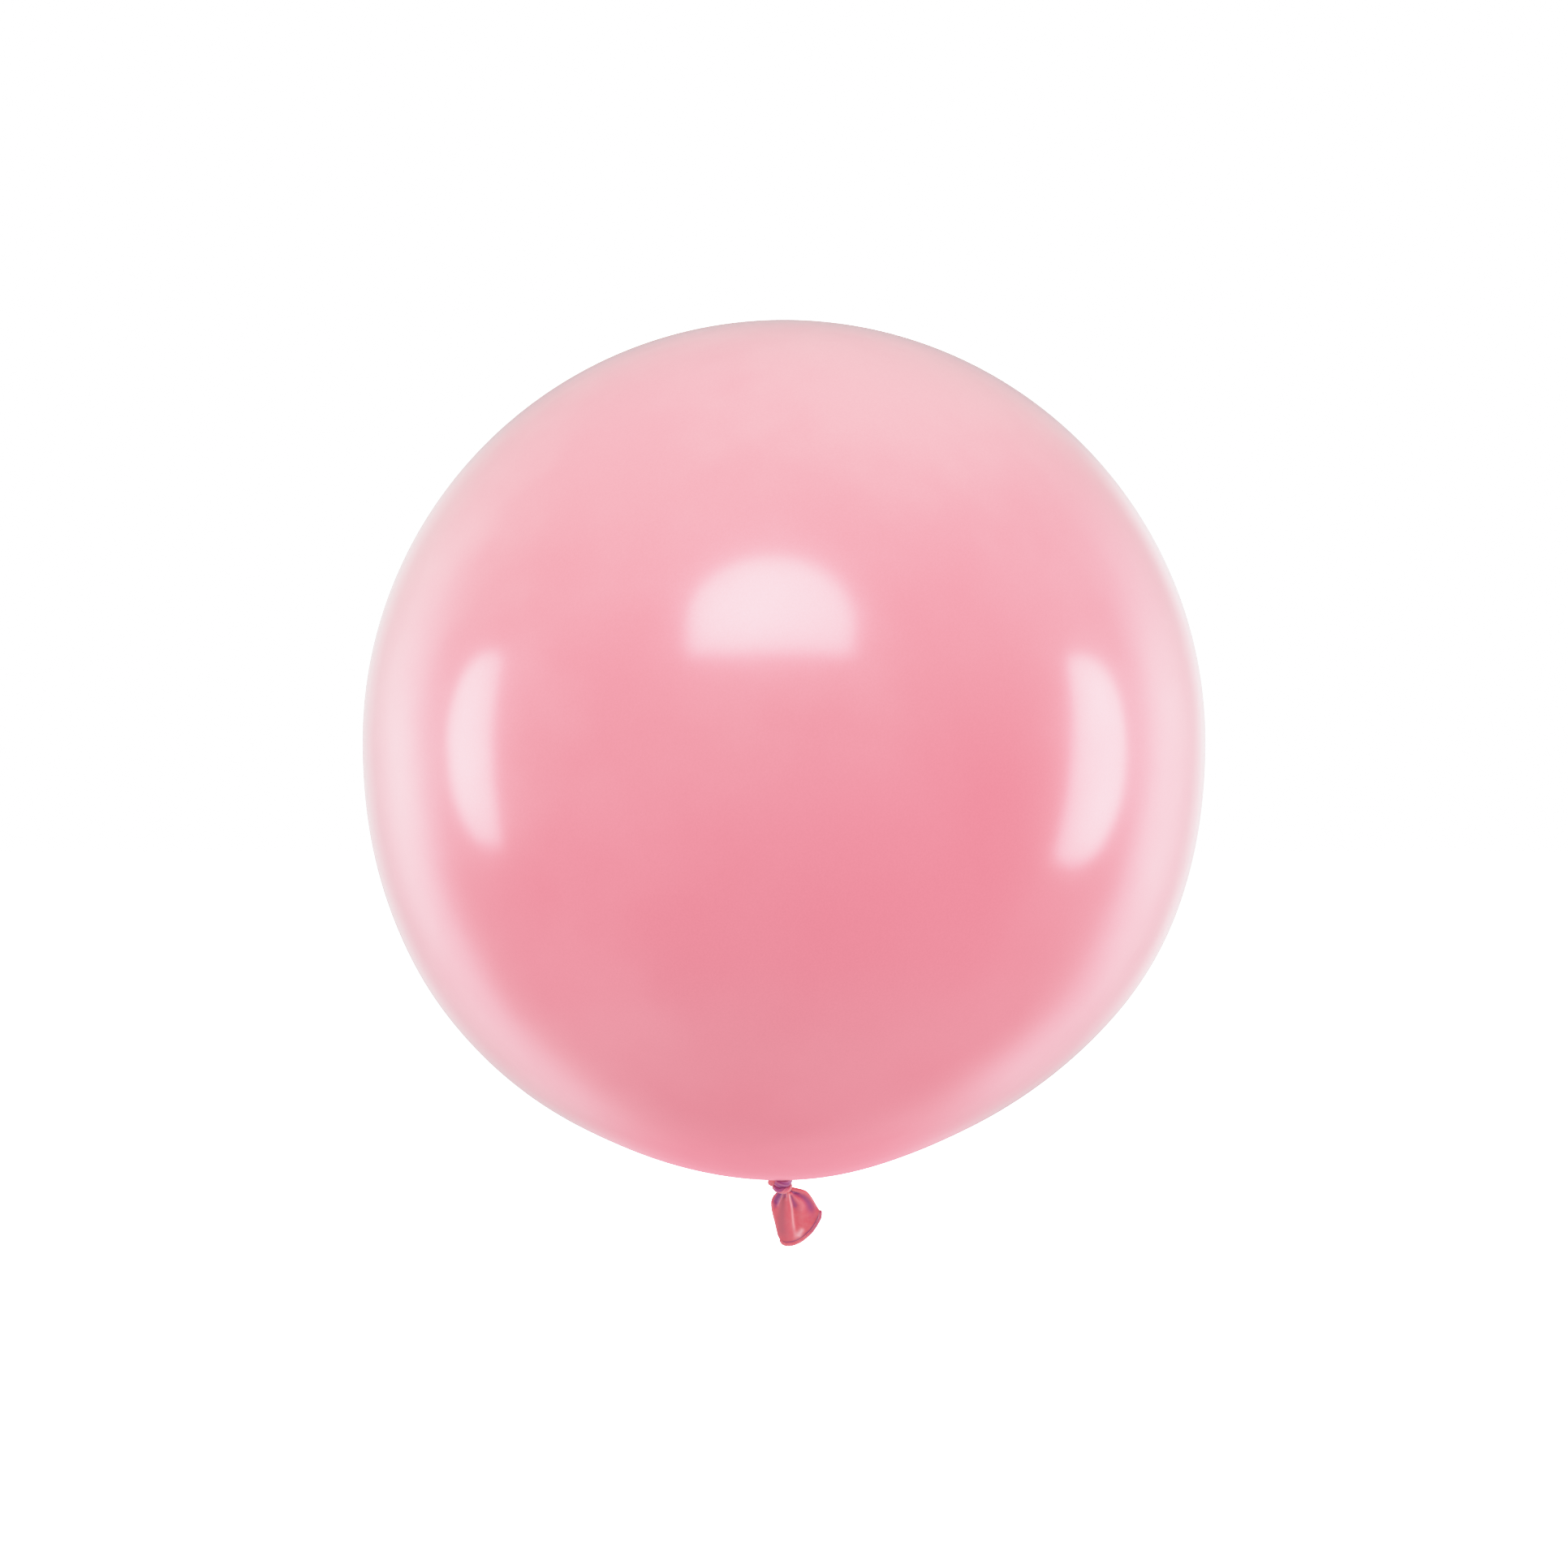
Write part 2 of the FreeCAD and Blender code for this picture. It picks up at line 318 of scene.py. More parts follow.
def neck_latex(name):
    """Unstretched film: satin coral, with purple painted shade in the folds, a duller coral as an
    even tone and as painted shade, and pale painted highlights on the crests.
    The pieces' three point attributes say where."""
    material, tree, shader = new_material(
        name,
        Roughness=0.36,
        Coat_Weight=0.5,
        Coat_Roughness=0.22,
        Sheen_Weight=0.25,
        Sheen_Roughness=0.4,
    )
    grain = scaled(tree, noise(tree, 260.0, 4.0, 0.6), 0.3, 0.7)
    base = mix(tree, grain, NECK_CORAL, GRAIN_CORAL)
    # painted shade (duller coral, then purple) and painted highlights, laid on where the pieces'
    # masks say
    base = mix(tree, attribute(tree, "dull_and_shade"), base, DULL_SHADE_CORAL)
    base = mix(tree, scaled(tree, attribute(tree, "purple_shade"), 0.0, 1.0), base, SHADE_PURPLE)
    base = mix(tree, attribute(tree, "painted_highlight"), base, HIGHLIGHT_PINK)
    tree.links.new(base, shader.inputs["Base Color"])
    tree.links.new(scaled(tree, grain, 0.0, 1.0, 0.30, 0.42), shader.inputs["Roughness"])
    bump(tree, shader, noise(tree, 900.0, 3.0, 0.6), 0.35, 0.0002)
    return material


# ---- the bulb and its gathered neck --------------------------------------------------------
# Spans are in degrees below the equator
LOWER_FULLNESS = 0.0245     # the lower half swells past a sphere by this share of the radius
SWELL_SPAN = (0.0, 38.0)
NECK_DROP = 0.0185          # and drops towards the neck by this further share
DROP_SPAN = (62.0, 88.0)
CHEEK_LEAN = 5.9            # mm by which the lower cheek leans to the left
LEAN_SPAN = (22.0, 64.0)
NECK_LEAN = 1.7             # mm that remain of it at the neck
UPRIGHT_SPAN = (70.0, 90.0)
BULB_COLUMNS = 256
TURN_IN = (5.4, -0.5)       # mm: where the bulb's film turns down into the throat, as the
                            # distance from the axis and the height above the last bulb ring
WAIST_DROP = 2.8            # mm below that ring where the throat has its full slimness
DIMPLE = 3.0                # mm by which the knot draws the film up round itself
DIMPLE_REACH = (6.0, 30.0)  # mm from the axis between which the dimple fades out
THROAT_SPLIT = 7.5          # mm from the axis where the bulb's mesh hands over to the throat's
THROAT_MIDDLE_Z = -0.2      # mm; the upper pleats end and the lower pleats begin here
THROAT_RADIUS = 3.2         # mm
THROAT_TAPER = 0.94         # factor on it at the throat's lower end
THROAT_END_Z = -7.5         # mm
PLEATS, PLEATS_PHASE = 11, 0.4
BUNCHES, BUNCHES_PHASE = 4, 1.1       # the pleats stand in a few wider bunches
GATHER_REACH = 8.0          # mm outside the throat over which the gathering dies away


def bulb_radius(below):
    """Distance from the bulb's centre to its surface, at an angle in degrees below the equator."""
    swell = LOWER_FULLNESS * between(below, SWELL_SPAN)
    drop = NECK_DROP * between(below, DROP_SPAN)
    return BULB_RADIUS * (1 + swell + drop)


def lean(below):
    """Sideways shift, in metres, of the ring at that angle below the equator."""
    out = CHEEK_LEAN * between(below, LEAN_SPAN)
    back = (CHEEK_LEAN - NECK_LEAN) * between(below, UPRIGHT_SPAN)
    return -(out - back) * MM


def film_profile():
    """(distance from the axis, height, sideways shift) down the whole film, crown to throat."""
    rows = []
    down_to_cheeks, down_to_neck = np.linspace(-89.6, 80.0, 150), np.linspace(80.6, 88.5, 26)
    for below in np.concatenate([down_to_cheeks, down_to_neck]):
        radius = bulb_radius(below)
        angle = math.radians(below)
        out = radius * math.cos(angle)
        up = DIMPLE * (1 - between(out / MM, DIMPLE_REACH)) * MM if below > 0 else 0.0
        rows.append((out, BULB_CENTRE_Z - radius * math.sin(angle) + up, lean(below)))
    start = np.array(rows[-1][:2])
    turn_in = np.array([TURN_IN[0] * MM, start[1] + TURN_IN[1] * MM])
    waist = np.array([THROAT_RADIUS * MM, start[1] - WAIST_DROP * MM])
    end = np.array([THROAT_RADIUS * THROAT_TAPER * MM, THROAT_END_Z * MM])
    for out, z in through([start, turn_in, waist, end], 40)[1:]:
        rows.append((out, z, -NECK_LEAN * MM))
    return np.array(rows)


def pleated(turn, count, phase, depth):
    """Rounded lobes with sharp valleys between them: 1 on a lobe, 1 - depth in a valley."""
    lobe = np.abs(np.cos(turn * count / 2 + phase)) ** 0.7
    return 1 - depth + depth * lobe


def film_rows():
    """Rings of the film, and how far each point is gathered (near 0 smooth, 1 bunched)."""
    turn = np.linspace(0, 2 * math.pi, BULB_COLUMNS, endpoint=False)
    rows, gathered = [], []
    for out, z, shift in film_profile():
        gather = 0.0
        if z < 0.02:        # the lower end only, not the crown
            gather = float(np.exp(-max(out / MM - THROAT_RADIUS, 0.0) / GATHER_REACH))
        twist = 0.5 * gather
        fold = pleated(turn + twist, PLEATS, PLEATS_PHASE, 0.20 * gather)
        fold = fold * pleated(turn - twist, BUNCHES, BUNCHES_PHASE, 0.08)
        radius = out * (1 - gather + gather * fold)
        lobe = pleated(turn + twist, PLEATS, PLEATS_PHASE, 1.0) - 0.5
        sag = 0.55 * MM * gather * lobe * min(1.0, out / (12 * MM))
        x, y = radius * np.sin(turn) + shift, -radius * np.cos(turn)
        rows.append(np.stack([x, y, z - sag], axis=1))
        gathered.append(np.full(BULB_COLUMNS, gather**2.4))
    return np.array(rows), np.array(gathered)


def make_film():
    """The bulb and the two lengths of the throat, cut from one film so that their rims meet."""
    rows, gathered = film_rows()
    out = film_profile()[:, 0]
    lower = np.arange(len(out)) > len(out) // 2
    split = int(np.argmax((out < THROAT_SPLIT * MM) & lower))
    middle = int(np.argmax(rows[:, :, 2].mean(axis=1) < THROAT_MIDDLE_Z * MM))
    bulb_masks = {"gathered": gathered[: split + 1]}
    bulb = surface("bulb", rows[: split + 1], masks=bulb_masks, smooth_start=True)

    def length(name, first, last):
        part = gathered[first:last]
        # the gathered throat gets purple and duller coral as painted shade, the more the more it is
        # bunched
        masks = {"purple_shade": np.clip(part * 0.75, 0, 1), "dull_and_shade": part * 0.4, "painted_highlight": part * 0.0}
        return surface(name, rows[first:last], masks=masks)

    pleats = length("throat_pleats", split, middle + 1)
    return bulb, pleats, length("throat_neck", middle, len(rows))


# ---- the knot ------------------------------------------------------------------------------
KNOT_X = -1.3               # mm; the knot's middle
ROLL_OUT = 5.6              # mm from the knot's middle to the roll's middle, sideways
ROLL_FORE = 4.5             # and fore and aft
ROLL_BACK_Z = -6.1          # height of the roll's middle behind
ROLL_DROP = 4.1             # its front hangs lower than its back by this much
ROLL_ROWS, ROLL_COLUMNS = 192, 72


def make_roll():
    """The wrapped turn: a wrinkled roll that hangs low in front and climbs round the sides.
    The angle a is 0 in front and grows to the right."""
    rows, purple_shade, painted_highlight, dull_and_shade = [], [], [], []
    section = np.linspace(0, 2 * math.pi, ROLL_COLUMNS, endpoint=False)
    for i in range(ROLL_ROWS):
        a = 2 * math.pi * i / ROLL_ROWS
        side, front = math.sin(a), math.cos(a)
        drop = ROLL_DROP * (0.5 + 0.5 * front) ** 1.25
        centre = np.array([KNOT_X + ROLL_OUT * side, -ROLL_FORE * front, ROLL_BACK_Z - drop])
        outward = np.array([0.9 * side, -front, -0.35 * max(front, 0)])
        outward /= np.linalg.norm(outward)
        along = np.array([ROLL_OUT * front, ROLL_FORE * side, 0.0])
        downward = np.cross(along / np.linalg.norm(along), outward)
        tall = 2.15 + 0.35 * side**2
        thick = 1.95 - 0.15 * side**2
        twist = section + 2.5 * a
        fine_twist = 7 * twist + 1.0 + 0.6 * math.sin(2 * a)
        wave = 1 + 0.045 * np.cos(4 * twist) + 0.03 * np.cos(fine_twist)
        wave = wave + 0.045 * bell(np.sin((section - 0.8 * math.sin(a)) / 2 - 0.35), 0.10)
        wave *= 1 + 0.05 * math.sin(3 * a + 0.4) + 0.03 * math.sin(7 * a + 1.0)
        ring = centre + np.outer(thick * wave * np.cos(section), outward)
        ring = ring + np.outer(tall * wave * np.sin(section), downward)
        rows.append(ring * MM)
        # Painted shade: purple on the roll's inner side, along its twisted creases, along its top
        # where the throat goes in and at its front left; duller coral on its underside, over an
        # even dull tone. Painted highlights on its raised wrinkles and at its front right.
        inner = np.clip(-np.cos(section), 0, 1)
        crease = bell(np.cos(2 * twist), 0.25)
        above = np.clip(0.15 - np.sin(section + 0.6 * side), 0, 1)
        leftward = 0.35 * bell(math.sin((a + 0.45) / 2), 0.25)
        rightward = 0.16 * bell(math.sin((a - 0.5) / 2), 0.3)
        purple = 0.9 * inner + 0.35 * crease + 0.75 * above * (1 - 0.6 * side**2) + leftward
        purple_shade.append(np.clip(purple, 0, 1))
        painted_highlight.append(0.3 * np.clip(wave - 1.05, 0, 0.1) / 0.1 + rightward)
        dull_and_shade.append(0.35 * np.clip(np.sin(section), 0, 1) + 0.15)
    masks = {"purple_shade": purple_shade, "painted_highlight": painted_highlight, "dull_and_shade": dull_and_shade}
    return surface("knot_roll", rows, closed_rows=True, masks=masks)


def swept(name, path, half_sizes, facing, ripple, rows, masks):
    """Oval tube along a smooth path of a few points (mm); its wide side lies square to facing.
    ripple shapes it and masks colours it, both by the share of the way and the angle round it."""
    columns = 48
    centres = through(path, rows)
    ends = np.linspace(0, 1, rows)
    given = np.linspace(0, 1, len(half_sizes))
    sizes = np.stack([np.interp(ends, given, k) for k in np.array(half_sizes).T], axis=1)
    sizes *= np.sqrt(np.clip(1 - np.abs(2 * ends - 1) ** 14, 0.02, 1))[:, None]     # round ends
    along = np.gradient(centres, axis=0)
    along /= np.linalg.norm(along, axis=1)[:, None]
    side = np.cross(along, np.array(facing, float))
    side /= np.linalg.norm(side, axis=1)[:, None]
    up = np.cross(side, along)
    made = tube(centres * MM, side, up, sizes * MM, columns, ripple)
    turn = np.linspace(0, 2 * math.pi, columns, endpoint=False)
    return surface(name, made, masks=masks(ends[:, None], turn[None, :]))


def make_strand():
    """The inner turn, which slings from the upper right under the throat to the upper left."""

    def ripple(t, turn):
        return pleated(turn + 3.0 * t, 5, 0.2, 0.2) * (1 + 0.05 * math.sin(9 * t + 0.5))

    # Painted shade: purple over the whole inner turn, deepest in the valleys between its lobes;
    # painted highlights on its lobes; an even dull tone.
    def masks(t, turn):
        valley = 1 - pleated(turn + 3.0 * t, 5, 0.2, 1.0)
        flat = 0 * t * turn     # spreads a plain number over all points
        return {
            "purple_shade": 0.72 + 0.28 * valley + 0.2 * bell(t - 0.35, 0.2),
            "dull_and_shade": 0.2 + flat,
            "painted_highlight": 0.2 * (1 - valley) ** 4,
        }

    path = [
        (4.6, 1.2, -2.0),
        (4.0, -1.8, -3.6),
        (1.6, -4.0, -5.4),
        (-2.2, -4.4, -5.7),
        (-5.4, -2.8, -4.9),
        (-6.0, 0.6, -3.4),
    ]
    sizes = [(1.5, 1.2), (2.3, 1.6), (3.0, 1.8), (2.9, 1.8), (2.5, 1.6), (1.5, 1.1)]
    return swept("knot_strand", path, sizes, (0, 1, 0.35), ripple, 80, masks)


def make_fold():
    """The loose lobe of film at the knot's upper left, which ends in a small free corner."""

    def ripple(t, turn):
        return 1 + 0.10 * np.cos(3 * turn + 4 * t) + 0.06 * np.cos(5 * turn + 1 - 3 * t)

    # Painted purple shade where the lobe leaves the roll, painted highlight along its outer part,
    # and an even dull tone.
    def masks(t, turn):
        flat = 0 * t * turn
        return {
            "purple_shade": 0.45 * bell(t - 0.05, 0.2) + flat,
            "dull_and_shade": 0.15 + flat,
            "painted_highlight": 0.22 * bell(t - 0.6, 0.3) + flat,
        }

    path = [
        (-5.2, -1.6, -6.6),
        (-6.9, -2.3, -4.6),
        (-9.0, -2.8, -3.5),
        (-9.9, -3.0, -4.6),
        (-8.9, -3.0, -7.3),
    ]
    sizes = [(1.7, 1.3), (2.2, 1.2), (2.1, 0.9), (1.7, 0.6), (0.35, 0.3)]
    return swept("knot_loose_fold", path, sizes, (0, 1, 0), ripple, 64, masks)


# ---- the tail ------------------------------------------------------------------------------
# The flattened tail's edges and its mouth, as (right, up) in mm from the sway hinge
TAIL_LEFT = [
    (-3.9, 2.6), (-5.6, -0.4), (-7.7, -2.8), (-9.1, -5.6), (-9.5, -8.6), (-9.2, -12.5),
    (-8.2, -17.3), (-6.8, -22.7), (-5.6, -27.7), (-4.5, -32.0), (-2.5, -35.5),
]
TAIL_RIGHT = [
    (2.4, 3.2), (6.1, 3.4), (10.7, 2.5), (14.4, 1.5), (17.0, 0.0), (19.4, -2.8),
    (21.5, -6.0), (23.6, -9.8), (25.2, -12.4), (26.4, -14.4),
]
TAIL_MOUTH = [
    (-2.5, -35.5), (-0.6, -37.3), (3.0, -38.0), (7.3, -37.2), (11.6, -35.3), (16.0, -32.1),
    (20.3, -27.9), (23.7, -22.9), (26.0, -18.2), (26.4, -14.4),
]
TAIL_COLUMNS = 260          # round the flattened tube: half in front, half behind
TAIL_ROWS = 170
FRONT_PUFF, BACK_PUFF = 3.3, 3.0      # mm that each film stands off the tail's plane
LIP_FRONT, LIP_BACK = 2.4, 2.0        # and at the mouth
THINNEST = 0.8              # mm that it never goes below, half-way across
BEAD_RADIUS = 1.28          # mm
MOUTH_WAY = (0.581, 0, -0.814)        # the way the mouth faces

FOLD_STEPS = 180            # points along each fold's path
# Folds of each film: path in mm from the sway hinge, then height in mm (hollows are negative),
# width in mm on its left and right at the start, the same at the end, and how much purple painted
# shade, how much duller coral (an even tone and painted shade) and how much painted highlight it
# gets
FRONT_FOLDS = [
    # the worn crest down the middle
    ([(3.0, 0.4), (3.7, -4.7), (4.6, -9.4), (5.2, -15.2), (5.7, -21.5), (6.5, -26.3), (7.6, -31.0)],
     1.9, (2.0, 0.7), (3.6, 1.6), 0.0, 0.0, 0.0),
    # hollows and gathers left of it
    ([(-1.6, 0.6), (-3.2, -2.2), (-4.9, -5.4), (-6.0, -9.8)],
     -1.9, (1.7, 1.3), (2.5, 1.9), 1.35, 0.0, 0.0),
    ([(-0.3, 0.0), (-1.5, -4.0), (-3.1, -8.1), (-4.4, -12.0)],
     0.9, (0.7, 0.7), (1.5, 1.5), 0.0, 0.0, 0.08),
    ([(0.3, 0.6), (0.0, -1.8), (-0.5, -4.8)], -0.5, (0.4, 0.4), (0.6, 0.6), 0.45, 0.2, 0.0),
    ([(0.9, 0.8), (1.2, -1.4), (1.4, -4.3)], -1.2, (1.1, 1.1), (1.2, 1.2), 0.5, 0.0, 0.0),
    # hollows and folds right of it
    ([(4.9, -2.6), (6.8, -7.0), (9.2, -12.0)], -0.7, (0.6, 1.2), (2.8, 3.6), 0.68, 0.0, 0.0),
    ([(4.9, -0.6), (8.4, -3.5), (11.4, -6.9), (12.8, -11.0), (12.8, -15.4)],
     1.2, (0.8, 0.8), (2.8, 2.6), 0.0, 0.0, 0.25),
    ([(7.6, -0.9), (12.8, -2.8), (16.8, -6.2), (19.3, -10.8), (21.0, -17.0)],
     -1.15, (1.5, 1.3), (4.7, 4.2), 0.72, 0.0, 0.0),
    ([(6.3, 2.6), (12.2, 1.1), (17.3, -1.5), (20.7, -5.7), (23.6, -11.0)],
     0.6, (1.0, 1.0), (1.1, 1.1), 0.0, 0.0, 0.28),
    ([(3.9, 1.6), (7.2, -0.2), (10.7, -1.0)], -1.0, (0.6, 0.6), (0.7, 0.7), 1.0, 0.0, 0.0),
    # the wide band of duller coral down the left half, painted shade on the side away from the
    # light
    ([(-0.8, -4.4), (-1.0, -12.0), (-1.4, -19.4), (-0.8, -28.0), (0.2, -36.0)],
     -0.8, (3.4, 2.8), (6.6, 5.6), 0.06, 0.9, 0.0),
    # painted highlights: the pale patch above the mouth, the crest's pale line and the left edge's
    ([(12.8, -27.4), (11.3, -29.7), (9.6, -32.4)], 0.35, (1.6, 1.6), (2.8, 2.6), 0.0, 0.0, 1.0),
    ([(3.6, -0.8), (4.3, -4.9), (5.2, -9.6), (5.9, -15.2), (6.4, -21.5), (7.2, -26.3),
      (8.2, -31.4)],
     0.2, (0.45, 0.5), (0.9, 1.2), 0.0, 0.0, 0.65),
    ([(-8.8, -8.6), (-8.4, -13.0), (-7.2, -18.5), (-5.8, -25.0), (-4.6, -31.0)],
     0.0, (0.6, 0.6), (0.6, 0.6), 0.0, 0.0, 0.3),
]
BACK_FOLDS = [
    ([(2.0, 1.0), (1.4, -6.0), (2.6, -14.0), (4.6, -24.0)],
     1.2, (1.2, 1.2), (3.2, 2.4), 0.0, 0.0, 0.2),
    ([(4.0, 1.0), (6.6, -5.0), (9.0, -12.0)], -1.4, (0.8, 0.8), (1.8, 1.6), 0.9, 0.0, 0.0),
    ([(-1.0, 0.8), (-3.4, -4.0), (-5.0, -9.0)], -1.3, (0.8, 0.8), (1.4, 1.4), 0.9, 0.0, 0.0),
    ([(7.0, 0.6), (12.0, -3.0), (16.0, -10.0), (17.0, -18.0)],
     1.1, (0.9, 0.9), (2.8, 2.4), 0.0, 0.0, 0.2),
    ([(8.6, 1.6), (15.0, -1.2), (19.6, -7.0)], -0.9, (0.6, 0.6), (1.5, 1.5), 0.7, 0.0, 0.0),
    ([(0.6, 1.4), (-1.2, -7.0), (-1.6, -16.0)], -0.7, (0.6, 0.6), (1.8, 1.8), 0.35, 0.5, 0.0),
]


def fold_relief(folds, x, z):
    """(height, purple painted shade, duller coral as tone and painted shade, painted highlight)
    that the folds give at points of the tail's plane, in mm.
    """
    height, purple_shade, dull_and_shade, painted_highlight = (np.zeros_like(x) for _ in range(4))
    for path, tall, wide_first, wide_last, purple, dull_shaded, pale in folds:
        line = through(path, FOLD_STEPS)
        way = np.gradient(line, axis=0)
        gap_x = x[..., None] - line[:, 0]
        gap_z = z[..., None] - line[:, 1]
        nearest = np.argmin(gap_x**2 + gap_z**2, axis=-1)
        pick = np.take_along_axis
        gap_x = pick(gap_x, nearest[..., None], -1)[..., 0]
        gap_z = pick(gap_z, nearest[..., None], -1)[..., 0]
        on_left = (way[nearest, 0] * gap_z - way[nearest, 1] * gap_x) < 0
        t = nearest / (len(line) - 1)
        width_left = wide_first[0] + (wide_last[0] - wide_first[0]) * t
        width_right = wide_first[1] + (wide_last[1] - wide_first[1]) * t
        width = np.where(on_left, width_left, width_right)
        there = np.exp(-((gap_x**2 + gap_z**2) / width**2) ** 0.9)
        there = there * (1 - 0.6 * smooth((t - 0.7) / 0.3))     # weaker towards its end
        height = height + tall * there
        purple_shade = purple_shade + purple * there
        dull_and_shade = dull_and_shade + dull_shaded * there
        painted_highlight = painted_highlight + pale * there
    return height, purple_shade, dull_and_shade, painted_highlight


def tail_rows():
    """Rings of the flattened tube from the knot to the mouth, with the masks for its colours.
    s runs across it from left to right, and v from the knot to the mouth, both from 0 to 1."""
    left = through(TAIL_LEFT, TAIL_ROWS)
    right = through(TAIL_RIGHT, TAIL_ROWS)
    half = TAIL_COLUMNS // 2
    s = 0.5 - 0.5 * np.cos(math.pi * (np.arange(half) + 0.5) / half)
    mouth = through(TAIL_MOUTH, 200)
    reach = np.linspace(0, 1, 200)
    mouth = np.stack([np.interp(s, reach, mouth[:, k]) for k in (0, 1)], axis=1)
    bow = mouth - (left[-1] + np.outer(s, right[-1] - left[-1]))
    v = np.linspace(0, 1, TAIL_ROWS)[:, None]
    s = s[None, :]
    flat = left[:, None, :] + s[..., None] * (right - left)[:, None, :]
    flat = flat + smooth(v / 0.62)[..., None] * bow[None]
    x, z = flat[..., 0], flat[..., 1]
    lens = np.sqrt(4 * s * (1 - s))
    near = np.exp(-v / 0.09)
    room = smooth(lens * 1.6) * (1 - 0.75 * smooth((v - 0.90) / 0.10))
    wide_gathers = 0.30 * np.cos(2 * math.pi * 8 * s + 0.4)
    gathers = near * (wide_gathers + 0.18 * np.cos(2 * math.pi * 14 * s + 1.9))
    lip = smooth((v - 0.62) / 0.38)
    puff = 0.80 + 0.20 * smooth(v / 0.3)
    height, purple_shade, dull_and_shade, painted_highlight = fold_relief(FRONT_FOLDS, x, z)
    front = lens * (FRONT_PUFF * puff * (1 - lip) + LIP_FRONT * lip)
    front = front + room * (height + gathers)
    rear_height, rear_purple_shade, rear_dull_and_shade, rear_painted_highlight = fold_relief(BACK_FOLDS, x, z)
    rear = lens * (BACK_PUFF * puff * (1 - lip) + LIP_BACK * lip)
    rear = rear + room * (rear_height + 1.4 * gathers)
    # a groove along the lip above the bead, painted with purple shade, a little more on the right
    # half and little at the right tip
    rim_line = bell(v - 0.955, 0.022)
    front = front - 0.35 * room * rim_line
    rear = rear - 0.35 * room * rim_line
    rim_shade = 0.6 + 0.1 * smooth((s - 0.45) / 0.25) - 0.5 * smooth((s - 0.9) / 0.1)
    purple_shade = purple_shade + rim_line * rim_shade
    least = THINNEST * lens
    front = 0.5 * (front + least + np.sqrt((front - least) ** 2 + 0.1 * lens))
    rear = 0.5 * (rear + least + np.sqrt((rear - least) ** 2 + 0.1 * lens))
    ring_front = np.stack([x, -front, z], axis=-1)
    ring_rear = np.stack([x, rear, z], axis=-1)[:, ::-1]
    rows = np.concatenate([ring_front, ring_rear], axis=1) * MM + np.array(SWAY)
    # the back film is duller all over and gets purple painted shade in its rim groove
    masks = {
        "purple_shade": np.concatenate([purple_shade, (rear_purple_shade + 0.5 * rim_line)[:, ::-1]], axis=1),
        "dull_and_shade": np.concatenate([dull_and_shade, (rear_dull_and_shade + 0.25)[:, ::-1]], axis=1),
        "painted_highlight": np.concatenate([painted_highlight, rear_painted_highlight[:, ::-1]], axis=1),
    }
    return rows, {key: np.clip(value, 0, 1) for key, value in masks.items()}


ROOT_ROWS = 40              # rings of the tail that belong to its gathered root
WALL = 0.3                  # mm of film
MOUTH_DEPTH = 26            # rings of the inside of the mouth


def make_tail():
    """The gathered root, the skirt with the inside of its mouth, and the ring of its edge."""
    rows, masks = tail_rows()
    root_masks = {key: mask[: ROOT_ROWS + 1] for key, mask in masks.items()}
    root = surface("tail_pleats", rows[: ROOT_ROWS + 1], masks=root_masks)
    lining = rows[-MOUTH_DEPTH:]
    inward = lining.mean(axis=1, keepdims=True) - lining
    inward[..., 1] *= 6     # mostly towards the tail's own plane
    inward /= np.linalg.norm(inward, axis=2, keepdims=True)
    lining = (lining + inward * WALL * MM)[::-1]
    # painted shade inside the mouth: purple and duller coral
    inside = {"purple_shade": 0.35, "dull_and_shade": 0.6, "painted_highlight": 0.0}
    skirt_masks = {
        key: np.concatenate([mask[ROOT_ROWS:], np.full(lining.shape[:2], inside[key])])
        for key, mask in masks.items()
    }
    skirt_rows = np.concatenate([rows[ROOT_ROWS:], lining])
    skirt = surface("tail_skirt_film", skirt_rows, masks=skirt_masks)
    return root, skirt, rows[-1]


